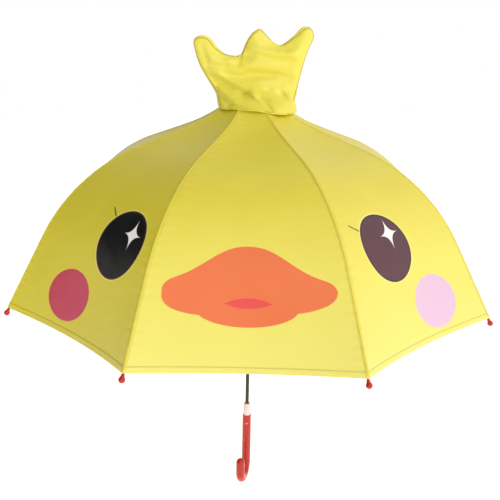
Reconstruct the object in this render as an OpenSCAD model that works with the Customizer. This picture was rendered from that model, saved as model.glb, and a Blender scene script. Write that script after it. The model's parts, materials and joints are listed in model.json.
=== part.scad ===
// Children's dome umbrella with a three-lobed crest and a crook handle.
// Every rib, stretcher and canopy panel is a piece of its own, shown fully open.
// Azimuths start at the front (-Y) and grow towards +X. Heights count from the grip's middle.

/* [Canopy] */
// Length of each rib along its curve, from the shaft's axis to its tip
rib_length = 470; // [460:1:480]
// Length of the straight part of a rib next to the crown
straight_length = 175; // [165:1:185]
// Length of the arc that follows it
arc_length = 185; // [180:1:195]
// Slope of the straight part below the horizontal, in degrees
top_slope = 19.2; // [18:0.1:21]
// Slope of a rib at its tip, in degrees
tip_slope = 61.7; // [60:0.1:63]
// Thickness of the canopy cloth with its coating
cloth_thick = 0.8; // [0.6:0.1:1]
// Height of the small tent of cloth over the crown
tent_rise = 21; // [16:1:22]
// Radius scale of that tent
tent_width = 52; // [45:1:60]
// How far a panel sags inwards at the middle of its hem
hem_sag = 15; // [8:1:18]
// How far the hem arches upwards between two tips
hem_arch = 3; // [0:1:5]

/* [Frame] */
// Height of the crown above the grip's middle
crown_height = 541.5; // [535:0.5:555]
// Radius of a rib's rod
rod_radius = 1.3; // [1.1:0.1:1.4]
// Place of the stretcher's lug along the rib
lug_place = 207; // [200:1:215]
// Place along the rib where it bends when it flexes
bend_place = 268; // [262:1:275]
// Radius of the circle on which ribs and stretchers pivot
pivot_radius = 9; // [9:0.1:9.5]
// Outer radius of the shaft tube
shaft_radius = 2.8; // [2.6:0.1:2.8]
// Wall of the shaft tube
shaft_wall = 0.5; // [0.4:0.1:0.5]
// Length of the runner below its pivots
runner_length = 30; // [26:1:34]
// Diameter of a tip's ball
tip_ball = 8; // [6.5:0.5:8]

/* [Handle] */
// Radius of the handle's round bar
grip_radius = 7; // [6.5:0.1:7.5]
// Centre-line radius of the crook
crook_radius = 20; // [18:0.5:22]
// Direction in which the crook points, as an azimuth
crook_azimuth = -12; // [-30:1:30]
// Straight length of the grip
grip_length = 82; // [76:1:95]
// Straight length of the crook's free end
crook_end = 16.5; // [12:0.5:20]
// Length of the collar above the handle
collar_length = 20; // [16:1:24]

/* [Crest] */
// Thickness of the crest pouch, front to back
crest_thick = 26; // [20:1:30]

/* [Hidden] */
RIBS = 8;
STEP = 360 / RIBS;
HALF = STEP / 2;
RIB_NAMES = [for (i = [1:RIBS]) str("rib_", i)];
TIP_NAMES = [for (i = [1:RIBS]) str("tip_", i)];
STRETCHER_NAMES = [for (i = [1:RIBS]) str("stretcher_", i)];
UPPER_NAMES = [for (i = [1:RIBS]) str("panel_upper_", i)];
LOWER_NAMES = [for (i = [1:RIBS]) str("panel_lower_", i)];

$fn = 48;
fit = 0.02;             // gap of a push fit
running_fit = 0.08;     // gap round a part that turns or slides
past = 1;               // how far a cut runs past the solid it cuts
wire_radius = 0.5;      // crown wire and runner wire
eye_thick = 1.4;        // flattened eye of a rib or stretcher
eye_radius = 2;
slot_width = 1.8;       // slot that an eye turns in
wing_height = 5;        // height of the slotted wings
wing_radius = pivot_radius + 2.5;
hub_radius = pivot_radius - 3;
lug_drop = 4;           // lug pivot below the rod's centre line
lug_radius = 1.9;
rivet_radius = 0.72;
catch_out = 1.8;        // how far a catch stands out of the shaft
catch_length = 10;
catch_thick = 1;
seam_gap = 0.2;         // half the gap between neighbouring panels
rod_inset = cloth_thick + 0.5 + rod_radius;
arc_radius = arc_length / ((tip_slope - top_slope) * PI / 180);

// The cloth's outer line over a rib, at the distance s along it: slope, radius and height
function slope(s) = s <= straight_length ? top_slope
    : s >= straight_length + arc_length ? tip_slope
    : top_slope + (s - straight_length) / arc_length * (tip_slope - top_slope);
function past_arc(s) = max(0, s - straight_length - arc_length);
function before_arc(s) = min(s, straight_length);
function line_r(s) = before_arc(s) * cos(top_slope) + arc_radius * (sin(slope(s)) - sin(top_slope))
    + past_arc(s) * cos(tip_slope);
function line_z(s) = -before_arc(s) * sin(top_slope) + arc_radius * (cos(slope(s)) - cos(top_slope))
    - past_arc(s) * sin(tip_slope);
// The same line moved inwards by d, as [x, y, z] in the rib's own plane
function inset(s, d) = [line_r(s) - d * sin(slope(s)), 0, line_z(s) - d * cos(slope(s))];

rod_start = inset(0, rod_inset);
rib_pivot = [pivot_radius, 0, rod_start.z - (pivot_radius - rod_start.x) * tan(top_slope)];
lug_pivot = inset(lug_place, rod_inset + lug_drop);
stretcher_length = norm(lug_pivot - rib_pivot);
stretcher_slope = asin((rib_pivot.z - lug_pivot.z) / stretcher_length);
runner_pivot = [pivot_radius, 0, lug_pivot.z - stretcher_length * sin(stretcher_slope)];
runner_close = 250.2;   // travel of the runner
socket_end = rib_length + 4;
// Tent of cloth over the crown
function tent(s) = tent_rise * exp(-pow(line_r(s) / tent_width, 2));
inner_edge = 8;         // the canopy's hole, along the rib

// Heights from the crown's zero down to the handle
grip_top = -crown_height + grip_length / 2;
grip_bottom = grip_top - grip_length;

// Places children in the vertical plane at an azimuth, with +X outwards
module at_azimuth(a) translate([0, 0, crown_height]) rotate([0, 0, a - 90]) children();
// Places children at a point of the plane, with +X running down the slope
module along(place, angle) translate(place) rotate([0, angle, 0]) children();
// A rod along +X
module rod(length, radius) rotate([0, 90, 0]) cylinder(h = length, r = radius);
// A round across the plane, centred on it
module across(width, radius) rotate([90, 0, 0]) cylinder(h = width, r = radius, center = true);
// A block along +X, centred in Y and Z
module bar(start, end, width, height)
    translate([start, -width / 2, -height / 2]) cube([end - start, width, height]);
module ring(major, minor) rotate_extrude($fn = 96) translate([major, 0]) circle(r = minor, $fn = 24);

// ---- Shaft and handle ----

shaft_sink = 45;        // length of shaft inside the handle
shaft_top = 22;         // top of the shaft above the crown's zero
pin_height = grip_top - 14;
pin_radius = 1.2;
catch_gap = 0.4;        // room above and below a catch
catch_side_gap = 0.1;
top_catch_z = runner_pivot.z - runner_length - catch_gap;
bottom_catch_z = runner_pivot.z - runner_close - runner_length + 20;

module slot_in_shaft(z)
    translate([0, -catch_thick / 2 - catch_side_gap, z - catch_length - catch_gap])
        cube([shaft_radius + past, catch_thick + 2 * catch_side_gap, catch_length + 2 * catch_gap]);
module pin_hole() translate([0, 0, pin_height]) across(2 * grip_radius + 2 * past, pin_radius + fit);

module shaft() color("#2b2b2b") at_azimuth(90) difference() {
    translate([0, 0, grip_top - shaft_sink])
        cylinder(h = shaft_top - grip_top + shaft_sink, r = shaft_radius);
    translate([0, 0, grip_top - shaft_sink - past])
        cylinder(h = shaft_top - grip_top + shaft_sink + 2 * past, r = shaft_radius - shaft_wall);
    slot_in_shaft(top_catch_z);
    slot_in_shaft(bottom_catch_z);
    pin_hole();
}

module handle() color("#d3423a") difference() {
    at_azimuth(crook_azimuth) {
        translate([0, 0, grip_bottom]) cylinder(h = grip_length, r = grip_radius);
        translate([crook_radius, 0, grip_bottom]) rotate([90, 0, 0]) rotate([0, 0, 180])
            rotate_extrude(angle = 180, $fn = 96) translate([crook_radius, 0]) circle(r = grip_radius);
        translate([2 * crook_radius, 0, grip_bottom]) {
            cylinder(h = crook_end, r = grip_radius);
            translate([0, 0, crook_end]) sphere(r = grip_radius);
        }
    }
    at_azimuth(90) {
        translate([0, 0, grip_top - shaft_sink - past])
            cylinder(h = shaft_sink + 2 * past, r = shaft_radius + fit);
        pin_hole();
    }
}

module handle_pin() color("silver") at_azimuth(90)
    translate([0, 0, pin_height]) across(2 * grip_radius - 0.6, pin_radius);

module collar() color("#f3e3ea") at_azimuth(90) translate([0, 0, grip_top]) rotate_extrude()
    polygon([[shaft_radius + fit, 0], [6.1, 0], [6.1, 14], [5.6, 14.8], [5.6, 16.2], [5.9, 17],
             [5.9, collar_length - 1.5], [4.8, collar_length], [shaft_radius + fit, collar_length]]);

// ---- Crown, crest and cap ----

crown_depth = 9;        // hub below the ribs' pivots
crown_flange_z = 13;
crown_flange = 2;
crown_flange_radius = 7;
wire_gap = 0.05;        // gap round a wire in its groove

// Slotted wings that carry a pivot wire, round a hub with a bore
module winged_hub(pivot_z, low, high) difference() {
    union() {
        translate([0, 0, low]) cylinder(h = high - low, r = hub_radius);
        translate([0, 0, pivot_z - wing_height / 2]) cylinder(h = wing_height, r = wing_radius);
    }
    translate([0, 0, pivot_z]) ring(pivot_radius, wire_radius + wire_gap);
    for (i = [0:RIBS - 1]) rotate([0, 0, HALF + i * STEP])
        translate([0, 0, pivot_z]) bar(hub_radius + 0.3, wing_radius + past, slot_width, wing_height + past);
}

module crown() color("#303030") at_azimuth(90) difference() {
    union() {
        winged_hub(rib_pivot.z, rib_pivot.z - crown_depth, crown_flange_z + past);
        translate([0, 0, crown_flange_z]) cylinder(h = crown_flange, r = crown_flange_radius);
    }
    translate([0, 0, rib_pivot.z - crown_depth - past])
        cylinder(h = crown_flange_z + crown_flange - rib_pivot.z + crown_depth + 2 * past,
                 r = shaft_radius + fit);
}

module crown_wire() color("silver") at_azimuth(90)
    translate([0, 0, rib_pivot.z]) ring(pivot_radius, wire_radius);

module top_cap() color("#f3e3ea") at_azimuth(90) rotate_extrude()
    polygon([[shaft_radius + fit, 18.4], [9, 18.4], [9, 20], [7.5, 22.5], [4, 24.2], [0, 24.6],
             [0, 22.2], [shaft_radius + fit, 22.2]]);

// Tops of the crest's lobes and the corners of its body, as [x, z]
crest_lobes = [[-71, 80], [8, 89], [70, 94]];
lobe_roots = [[-48, 45], [8, 50], [50, 58]];
crest_body = [[-34, -6], [49, -6], [-67, 52], [65, 71]];
// Levels of the round skirt that joins the crest to the canopy, as [z, middle, half width, half depth]
crest_skirt = [[-22, 8, 50, 51], [-9, 8, 50, 50], [0, 7, 52, 41], [8, 6, 54, 31], [17, 4, 57, 21],
               [28, 0, 62, 12]];
skirt_rim = 0.1;
cap_gap = 0.8;          // room round the cap
cloth_gap = 0.7;        // room between the crest and the canopy
canopy_covered = 101;   // how far along a rib the canopy counts

module skirt_level(level) translate([level[1], 0, level[0]]) linear_extrude(height = skirt_rim)
    polygon([for (a = [0:15:345]) [level[2] * cos(a), level[3] * sin(a)]]);

module crest_lobe(top, root) hull() {
    translate([top.x, 0, top.y]) sphere(r = crest_thick / 2, $fn = 32);
    translate([root.x, 0, root.y]) sphere(r = crest_thick / 3, $fn = 24);
}

// The space that the canopy's top and the cap take, with a small gap
module canopy_top() rotate_extrude()
    polygon(concat([[0, -60], [0, 26], [9 + cap_gap, 26], [9 + cap_gap, 20]],
        [for (s = [11:6:canopy_covered]) [line_r(s), line_z(s) + tent(s) + cloth_gap]],
        [[line_r(canopy_covered), -60]]));

module crest() color("#eee57a") translate([0, 0, crown_height]) difference() {
    union() {
        hull() for (corner = crest_body)
            translate([corner.x, 0, corner.y]) sphere(r = crest_thick / 3, $fn = 24);
        for (k = [0:2]) crest_lobe(crest_lobes[k], lobe_roots[k]);
        for (k = [0:len(crest_skirt) - 2]) hull() {
            skirt_level(crest_skirt[k]);
            skirt_level(crest_skirt[k + 1]);
        }
    }
    canopy_top();
}

// ---- Runner and catches ----

runner_top = 5;         // hub above the stretchers' pivots
runner_flange = 3;
runner_flange_radius = 6.8; // clear of the stretchers' eyes
keyway_gap = 0.3;
leaf_length = 22;       // catch and its leaf
leaf_thick = 0.7;

module runner() color("#2f2f2f") at_azimuth(90) difference() {
    union() {
        winged_hub(runner_pivot.z, runner_pivot.z - runner_length, runner_pivot.z + runner_top);
        translate([0, 0, runner_pivot.z - runner_length])
            cylinder(h = runner_flange, r = runner_flange_radius);
    }
    translate([0, 0, runner_pivot.z - runner_length - past]) {
        cylinder(h = runner_length + runner_top + 2 * past, r = shaft_radius + running_fit);
        // keyway that the catches stand in
        translate([0, -catch_thick / 2 - keyway_gap, 0])
            cube([shaft_radius + catch_out + catch_gap, catch_thick + 2 * keyway_gap,
                  runner_length + runner_top + 2 * past]);
    }
}

module runner_wire() color("silver") at_azimuth(90)
    translate([0, 0, runner_pivot.z]) ring(pivot_radius, wire_radius);

// Sprung wedge with its stop face up, and the leaf behind it inside the shaft
module catch_wedge() rotate([90, 0, 0]) linear_extrude(height = catch_thick, center = true)
    polygon([[0.1, 0], [shaft_radius + catch_out, 0], [shaft_radius + catch_out, -1.5],
             [shaft_radius - 0.2, -catch_length], [0.1 + leaf_thick, -catch_length],
             [0.1 + leaf_thick, -leaf_length], [0.1, -leaf_length]]);

module top_catch() color("silver") at_azimuth(90) translate([0, 0, top_catch_z]) catch_wedge();
module bottom_catch() color("silver") at_azimuth(90) translate([0, 0, bottom_catch_z]) catch_wedge();

// ---- Ribs, tips and stretchers ----

module arc_rod() translate([line_r(straight_length) - arc_radius * sin(top_slope), 0,
                            line_z(straight_length) - arc_radius * cos(top_slope)])
    rotate([90, 0, 0]) rotate([0, 0, 90 - tip_slope]) rotate_extrude(angle = tip_slope - top_slope, $fn = 180)
        translate([arc_radius - rod_inset, 0]) circle(r = rod_radius, $fn = 24);

neck_length = 5;
neck_height = 2.4;
joint_lap = 0.05;       // how far two parts of one rod run into each other
tip_straight = socket_end - straight_length - arc_length;

module rib(i) color("#2c2c2c") at_azimuth(HALF + (i - 1) * STEP) difference() {
    union() {
        along(rib_pivot, top_slope) {
            across(eye_thick, eye_radius);
            bar(0, neck_length + 1, eye_thick, neck_height);
            translate([neck_length, 0, 0]) rod(norm(inset(straight_length, rod_inset) - rib_pivot)
                                               - neck_length + joint_lap, rod_radius, $fn = 24);
        }
        arc_rod();
        along(inset(straight_length + arc_length, rod_inset), tip_slope)
            translate([-joint_lap, 0, 0]) rod(tip_straight + joint_lap, rod_radius, $fn = 24);
        along(lug_pivot, slope(lug_place)) {
            across(eye_thick, lug_radius);
            translate([0, 0, lug_drop / 2]) bar(-lug_radius, lug_radius, eye_thick, lug_drop);
        }
    }
    translate(rib_pivot) across(eye_thick + 2 * past, wire_radius + running_fit);
    translate(lug_pivot) across(eye_thick + 2 * past, rivet_radius + running_fit);
}

// Ball with a neck, pushed over the rib's end
module tip(i) color("#d3423a") at_azimuth(HALF + (i - 1) * STEP)
    along(inset(rib_length, rod_inset), tip_slope) rotate([0, 90, 0]) difference() {
        union() {
            translate([0, 0, 0.5]) cylinder(h = 5, r1 = 1.9, r2 = 3);
            translate([0, 0, 7]) sphere(r = tip_ball / 2);
        }
        translate([0, 0, -1]) cylinder(h = 5.2, r = rod_radius + 0.05);
    }

stretcher_neck = 7.5;     // thin part of a stretcher, which turns in the runner's slot
ear_gap = 0.15;
ear_thick = 0.8;
ear_y = eye_thick / 2 + ear_gap + ear_thick / 2;
ear_length = 5;
strip_height = 2.2;
rivet_head = 0.5;       // how far the rivet stands out at each side

// Strip with an eye on the runner's wire, and a fork riveted to the rib's lug
module stretcher(i) color("#3a3a3a") at_azimuth(HALF + (i - 1) * STEP)
    along(runner_pivot, -stretcher_slope) difference() {
        union() {
            across(eye_thick, eye_radius);
            bar(0, stretcher_neck + 1, eye_thick, strip_height);
            bar(stretcher_neck, stretcher_length - ear_length, 2 * ear_y + ear_thick, strip_height);
            for (side = [-1, 1]) translate([0, side * ear_y, 0]) {
                bar(stretcher_length - ear_length - 0.5, stretcher_length, ear_thick, strip_height);
                translate([stretcher_length, 0, 0]) across(ear_thick, 1.8);
            }
            translate([stretcher_length, 0, 0])
                across(2 * ear_y + ear_thick + 2 * rivet_head, rivet_radius, $fn = 24);
        }
        across(eye_thick + 2 * past, wire_radius + running_fit);
    }

// ---- Canopy ----

upper_sag = 5;
// How far a panel lies inside the straight line between its two ribs, at its middle
function sag(s) = s < bend_place ? upper_sag * sin(180 * (s - inner_edge) / (bend_place - inner_edge))
    : hem_sag * pow((s - bend_place) / (rib_length - bend_place), 1.4);
// A point of a panel: s along the rib, f from -1 to 1 across, d below the outer face
function cloth(s, f, d) = let (
        low = max(0, (s - bend_place) / (rib_length - bend_place)),
        place = s - hem_arch * (1 - f * f) * low,
        deep = sag(s) * (1 - f * f) + d)
    [line_r(place) * cos(HALF) - deep * sin(slope(s)),
     f * (line_r(place) * sin(HALF) - seam_gap - d * sin(slope(s)) * tan(HALF)),
     line_z(place) + tent(place) - deep * cos(slope(s))];

// Closed sheet between two distances along the ribs
module sheet(from_s, to_s, rows, cols) {
    grid = [for (d = [0, cloth_thick], r = [0:rows], c = [0:cols])
        cloth(from_s + (to_s - from_s) * r / rows, 2 * c / cols - 1, d)];
    width = cols + 1;
    layer = (rows + 1) * width;
    function at(l, r, c) = l * layer + r * width + c;
    faces = concat(
        [for (r = [0:rows - 1], c = [0:cols - 1]) each [
            [at(0, r, c), at(0, r, c + 1), at(0, r + 1, c)],
            [at(0, r, c + 1), at(0, r + 1, c + 1), at(0, r + 1, c)],
            [at(1, r, c), at(1, r + 1, c), at(1, r, c + 1)],
            [at(1, r, c + 1), at(1, r + 1, c), at(1, r + 1, c + 1)]]],
        [for (r = [0:rows - 1]) each [
            [at(0, r, 0), at(0, r + 1, 0), at(1, r, 0)],
            [at(0, r + 1, 0), at(1, r + 1, 0), at(1, r, 0)],
            [at(0, r, cols), at(1, r, cols), at(0, r + 1, cols)],
            [at(0, r + 1, cols), at(1, r, cols), at(1, r + 1, cols)]]],
        [for (c = [0:cols - 1]) each [
            [at(0, 0, c), at(1, 0, c), at(0, 0, c + 1)],
            [at(0, 0, c + 1), at(1, 0, c), at(1, 0, c + 1)],
            [at(0, rows, c), at(0, rows, c + 1), at(1, rows, c)],
            [at(0, rows, c + 1), at(1, rows, c + 1), at(1, rows, c)]]]);
    polyhedron(grid, faces);
}

module panel_upper(i) color("#eee57a") at_azimuth((i - 1) * STEP)
    sheet(inner_edge, bend_place - seam_gap, 9, 6);
module panel_lower(i) color("#eee57a") at_azimuth((i - 1) * STEP)
    sheet(bend_place + seam_gap, rib_length, 9, 8);

// ---- Closure strap, folded back along a rear seam ----

strap_rib = 5;
strap_start = 368;
strap_length = 88;
strap_width = 16;
strap_height = 2.4;     // two layers of cloth, folded
snap_place = 12;        // from the strap's end

module on_strap() at_azimuth(HALF + (strap_rib - 1) * STEP)
    along(inset(strap_start, -0.6), tip_slope) children();
module strap() color("#eee57a") on_strap()
    translate([0, 0, strap_height / 2]) bar(0, strap_length, strap_width, strap_height);
module strap_snap() color("#d3423a") on_strap()
    translate([strap_length - snap_place, 0, strap_height + 0.3]) cylinder(h = 1.8, r = 5);

shaft();
handle();
handle_pin();
collar();
crown();
crown_wire();
top_cap();
crest();
runner();
runner_wire();
top_catch();
bottom_catch();
strap();
strap_snap();
for (i = [1:RIBS]) {
    rib(i);
    tip(i);
    stretcher(i);
    panel_upper(i);
    panel_lower(i);
}
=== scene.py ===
"""A children's dome umbrella: the looks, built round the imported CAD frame.

Lengths are in millimetres until a mesh is made. A place on the canopy is given by s, the distance along a rib
from the crown's pivot, and f or t, the place across a panel.
"""

import json
import math

import bmesh
import bpy
import numpy as np
from mathutils import Matrix, Vector
from mathutils.bvhtree import BVHTree


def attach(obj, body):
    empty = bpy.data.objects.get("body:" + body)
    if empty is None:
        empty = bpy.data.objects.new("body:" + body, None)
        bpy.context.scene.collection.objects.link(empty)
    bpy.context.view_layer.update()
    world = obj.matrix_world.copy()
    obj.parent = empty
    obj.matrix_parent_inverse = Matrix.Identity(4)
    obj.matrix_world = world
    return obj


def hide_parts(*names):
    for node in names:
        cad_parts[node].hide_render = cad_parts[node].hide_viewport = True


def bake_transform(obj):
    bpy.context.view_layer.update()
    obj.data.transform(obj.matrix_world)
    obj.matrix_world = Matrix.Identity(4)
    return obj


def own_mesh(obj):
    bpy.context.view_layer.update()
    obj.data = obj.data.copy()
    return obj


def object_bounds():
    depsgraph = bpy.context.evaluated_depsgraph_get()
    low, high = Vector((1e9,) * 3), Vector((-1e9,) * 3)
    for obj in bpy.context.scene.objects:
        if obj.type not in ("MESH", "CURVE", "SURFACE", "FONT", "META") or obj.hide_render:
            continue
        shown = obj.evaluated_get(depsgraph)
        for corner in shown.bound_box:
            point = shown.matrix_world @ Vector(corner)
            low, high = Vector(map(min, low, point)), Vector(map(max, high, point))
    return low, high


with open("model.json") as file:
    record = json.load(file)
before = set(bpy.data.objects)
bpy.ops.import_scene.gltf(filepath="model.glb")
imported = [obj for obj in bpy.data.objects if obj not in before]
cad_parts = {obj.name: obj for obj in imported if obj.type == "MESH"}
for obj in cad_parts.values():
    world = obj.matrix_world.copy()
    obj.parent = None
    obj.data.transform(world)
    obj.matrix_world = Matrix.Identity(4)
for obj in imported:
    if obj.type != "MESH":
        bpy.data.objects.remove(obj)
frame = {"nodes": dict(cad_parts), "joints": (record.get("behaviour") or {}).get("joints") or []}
first_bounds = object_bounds()
scene = bpy.context.scene
MM = 0.001

# ---- Driving values, the same as the part's own source ----
RIBS = 8
STEP = 360.0 / RIBS
HALF = STEP / 2
RIB_LENGTH = 470.0
STRAIGHT = 175.0  # the rib's straight stretch at the crown
ARC = 185.0  # the length of its curved stretch
TOP_SLOPE = math.radians(19.2)
TIP_SLOPE = math.radians(61.7)
CROWN = 541.5  # the crown's height above the middle of the grip
BEND = 268.0  # where a rib gives and a panel folds
INNER = 8.0  # where the cloth starts
HEM_SAG = 15.0
HEM_SAG_POWER = 1.4
HEM_ARCH = 3.0
TENT_RISE = 21.0  # the cloth stands this far up over the crown
TENT_WIDTH = 52.0
SEAM_GAP = 0.05
ARC_RADIUS = ARC / (TIP_SLOPE - TOP_SLOPE)

# ---- Values that only the looks use ----
UPPER_SAG = 3.5  # how far a panel lies inside the line between its ribs, above the bend
SHEET_THICK = 0.5
HEM_FOLD = 0.35  # extra thickness of the folded hem
HEM_WIDTH = 8.0
FOLD_COS = 0.288  # how much of its width a half panel keeps when the umbrella is closed


def radians(a):
    return a * math.pi / 180


def slope(s):
    return TOP_SLOPE + np.clip((np.asarray(s, float) - STRAIGHT) / ARC, 0, 1) * (TIP_SLOPE - TOP_SLOPE)


def line_r(s):
    """How far out the open rib's line is, at s."""
    s = np.asarray(s, float)
    return (np.minimum(s, STRAIGHT) * math.cos(TOP_SLOPE)
            + ARC_RADIUS * (np.sin(slope(s)) - math.sin(TOP_SLOPE))
            + np.maximum(0, s - STRAIGHT - ARC) * math.cos(TIP_SLOPE))


def line_z(s):
    """How far up the open rib's line is from the crown, at s."""
    s = np.asarray(s, float)
    return (-np.minimum(s, STRAIGHT) * math.sin(TOP_SLOPE)
            + ARC_RADIUS * (np.cos(slope(s)) - math.cos(TOP_SLOPE))
            - np.maximum(0, s - STRAIGHT - ARC) * math.sin(TIP_SLOPE))


def tent(s):
    """How far the cloth stands above the rib's line near the crown."""
    return TENT_RISE * np.exp(-((line_r(s) / TENT_WIDTH) ** 2))


def sag(s):
    """How far a panel's middle lies inside the line between its ribs."""
    upper = UPPER_SAG * np.sin(math.pi * np.clip((s - INNER) / (BEND - INNER), 0, 1)) ** 2
    return upper + HEM_SAG * np.clip((s - BEND) / (RIB_LENGTH - BEND), 0, None) ** HEM_SAG_POWER


def cloth(s, f, d):
    """A point of a panel as (out, across, up), where f runs from -1 to 1 and d is below the outer face."""
    s, f = np.asarray(s, float), np.asarray(f, float)
    low = np.clip((s - BEND) / (RIB_LENGTH - BEND), 0, None)
    place = s - HEM_ARCH * (1 - f * f) * low
    deep = sag(s) * (1 - f * f) + d
    out = line_r(place) * math.cos(radians(HALF)) - deep * np.sin(slope(s))
    narrower = d * np.sin(slope(s)) * math.tan(radians(HALF))
    across = f * (line_r(place) * math.sin(radians(HALF)) - SEAM_GAP - narrower)
    up = line_z(place) + tent(place) - deep * np.cos(slope(s))
    return np.stack(np.broadcast_arrays(out, across, up), -1)


def half_width(s):
    return line_r(s) * math.sin(radians(HALF)) - SEAM_GAP


def turned_out(vectors, azimuth):
    """From (out, across, up) at an azimuth to directions in the row frame."""
    a = radians(azimuth)
    out, across, up = vectors[..., 0], vectors[..., 1], vectors[..., 2]
    return np.stack([out * math.sin(a) + across * math.cos(a),
                     -out * math.cos(a) + across * math.sin(a), up], -1)


def at_azimuth(points, azimuth):
    """From (out, across, up) at an azimuth to places in the row frame, in metres."""
    return MM * (turned_out(points, azimuth) + [0, 0, CROWN])


def over_rib(s, q, h):
    """A point in a rib's own frame, q across from the seam and h above whichever panel is there."""
    s, q, h = (np.asarray(x, float) for x in (s, q, h))
    side = np.where(q <= 0, 1.0, -1.0)
    p = cloth(s, side * (1 - np.abs(q) / half_width(s)), -h)
    turn = -side * radians(HALF)
    return np.stack([p[..., 0] * np.cos(turn) - p[..., 1] * np.sin(turn),
                     p[..., 0] * np.sin(turn) + p[..., 1] * np.cos(turn), p[..., 2]], -1)


# ---- Mesh helpers ----
def new_object(name, points, faces):
    mesh = bpy.data.meshes.new(name)
    mesh.from_pydata([tuple(p) for p in points], [], faces)
    mesh.validate()
    mesh.shade_smooth()
    made = bpy.data.objects.new(name, mesh)
    scene.collection.objects.link(made)
    return made


def grid_faces(rows, cols, start=0, flip=False, wrap=False):
    """Quads over a grid of points. wrap joins the last column to the first."""
    faces = []
    for i in range(rows - 1):
        row, below = start + i * cols, start + (i + 1) * cols
        for j in range(cols if wrap else cols - 1):
            k = (j + 1) % cols
            a, b, c, d = row + j, row + k, below + k, below + j
            faces.append((a, d, c, b) if flip else (a, b, c, d))
    return faces


def border(rows, cols):
    """The indices round a grid's edge, in order."""
    there = list(range(cols)) + [i * cols + cols - 1 for i in range(1, rows)]
    bottom = [(rows - 1) * cols + j for j in range(cols - 2, -1, -1)]
    return there + bottom + [i * cols for i in range(rows - 2, 0, -1)]


def tube(points, radius, sides=8, closed=False):
    """Points and faces of a tube along a path. radius is a number or one for each point."""
    path = np.asarray(points, float)
    count = len(path)
    radii = np.broadcast_to(np.asarray(radius, float), (count,))
    if closed:
        tangent = np.roll(path, -1, 0) - np.roll(path, 1, 0)
    else:
        tangent = np.gradient(path, axis=0)
    tangent /= np.linalg.norm(tangent, axis=1)[:, None]
    normal = np.cross(tangent[0], [0.3, 0.9, 0.2])
    rings = []
    for k in range(count):
        normal = normal - tangent[k] * (normal @ tangent[k])
        normal /= np.linalg.norm(normal)
        other = np.cross(tangent[k], normal)
        for j in range(sides):
            a = 2 * math.pi * j / sides
            rings.append(path[k] + radii[k] * (math.cos(a) * normal + math.sin(a) * other))
    faces = grid_faces(count, sides, wrap=True)
    if closed:
        last = (count - 1) * sides
        shift = min(range(sides), key=lambda n: np.linalg.norm(np.array(rings[last]) - np.array(rings[n])))
        for j in range(sides):
            faces.append((last + j, last + (j + 1) % sides, (j + 1 + shift) % sides, (j + shift) % sides))
    else:
        faces += [tuple(range(sides))[::-1], tuple((count - 1) * sides + j for j in range(sides))]
    return np.array(rings), faces


def merged(parts):
    """Several (points, faces) as one."""
    points, faces = [], []
    for p, f in parts:
        faces += [tuple(len(points) + v for v in face) for face in f]
        points += [tuple(x) for x in p]
    return points, faces


def outward(obj):
    """Turns every face outwards."""
    bm = bmesh.new()
    bm.from_mesh(obj.data)
    bmesh.ops.recalc_face_normals(bm, faces=bm.faces)
    bm.to_mesh(obj.data)
    bm.free()


def add_attribute(obj, name, values):
    layer = obj.data.attributes.new(name, "FLOAT_VECTOR", "POINT")
    layer.data.foreach_set("vector", np.asarray(values, np.float32).ravel())


# ---- Material helpers ----
def srgb(r, g, b):
    """A colour given from 0 to 255, as linear light."""
    shares = (c / 255 for c in (r, g, b))
    return tuple(c / 12.92 if c <= 0.04045 else ((c + 0.055) / 1.055) ** 2.4 for c in shares) + (1.0,)


class Value:
    """A number inside a material. Sums on it become Math nodes."""

    def __init__(self, tree, socket):
        self.tree, self.socket = tree, socket

    def op(self, kind, *others):
        node = self.tree.nodes.new("ShaderNodeMath")
        node.operation = kind
        for k, v in enumerate((self, *others)):
            if isinstance(v, Value):
                self.tree.links.new(v.socket, node.inputs[k])
            else:
                node.inputs[k].default_value = v
        return Value(self.tree, node.outputs[0])

    def __add__(self, b):
        return self.op("ADD", b)

    def __sub__(self, b):
        return self.op("SUBTRACT", b)

    def __mul__(self, b):
        return self.op("MULTIPLY", b)

    def __truediv__(self, b):
        return self.op("DIVIDE", b)

    __radd__, __rmul__ = __add__, __mul__

    def __rsub__(self, b):
        return self.op("MULTIPLY_ADD", -1.0, b)

    def __pow__(self, p):
        return self.op("POWER", p)

    def abs(self):
        return self.op("ABSOLUTE")

    def sin(self):
        return self.op("SINE")

    def max(self, b):
        return self.op("MAXIMUM", b)

    def below(self, edge, soft):
        """1 where this is under edge, 0 where over, with a soft step."""
        node = self.tree.nodes.new("ShaderNodeMapRange")
        node.interpolation_type = "SMOOTHSTEP"
        self.tree.links.new(self.socket, node.inputs[0])
        for k, v in enumerate((edge - soft, edge + soft, 1.0, 0.0)):
            node.inputs[k + 1].default_value = v
        return Value(self.tree, node.outputs[0])


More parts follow.
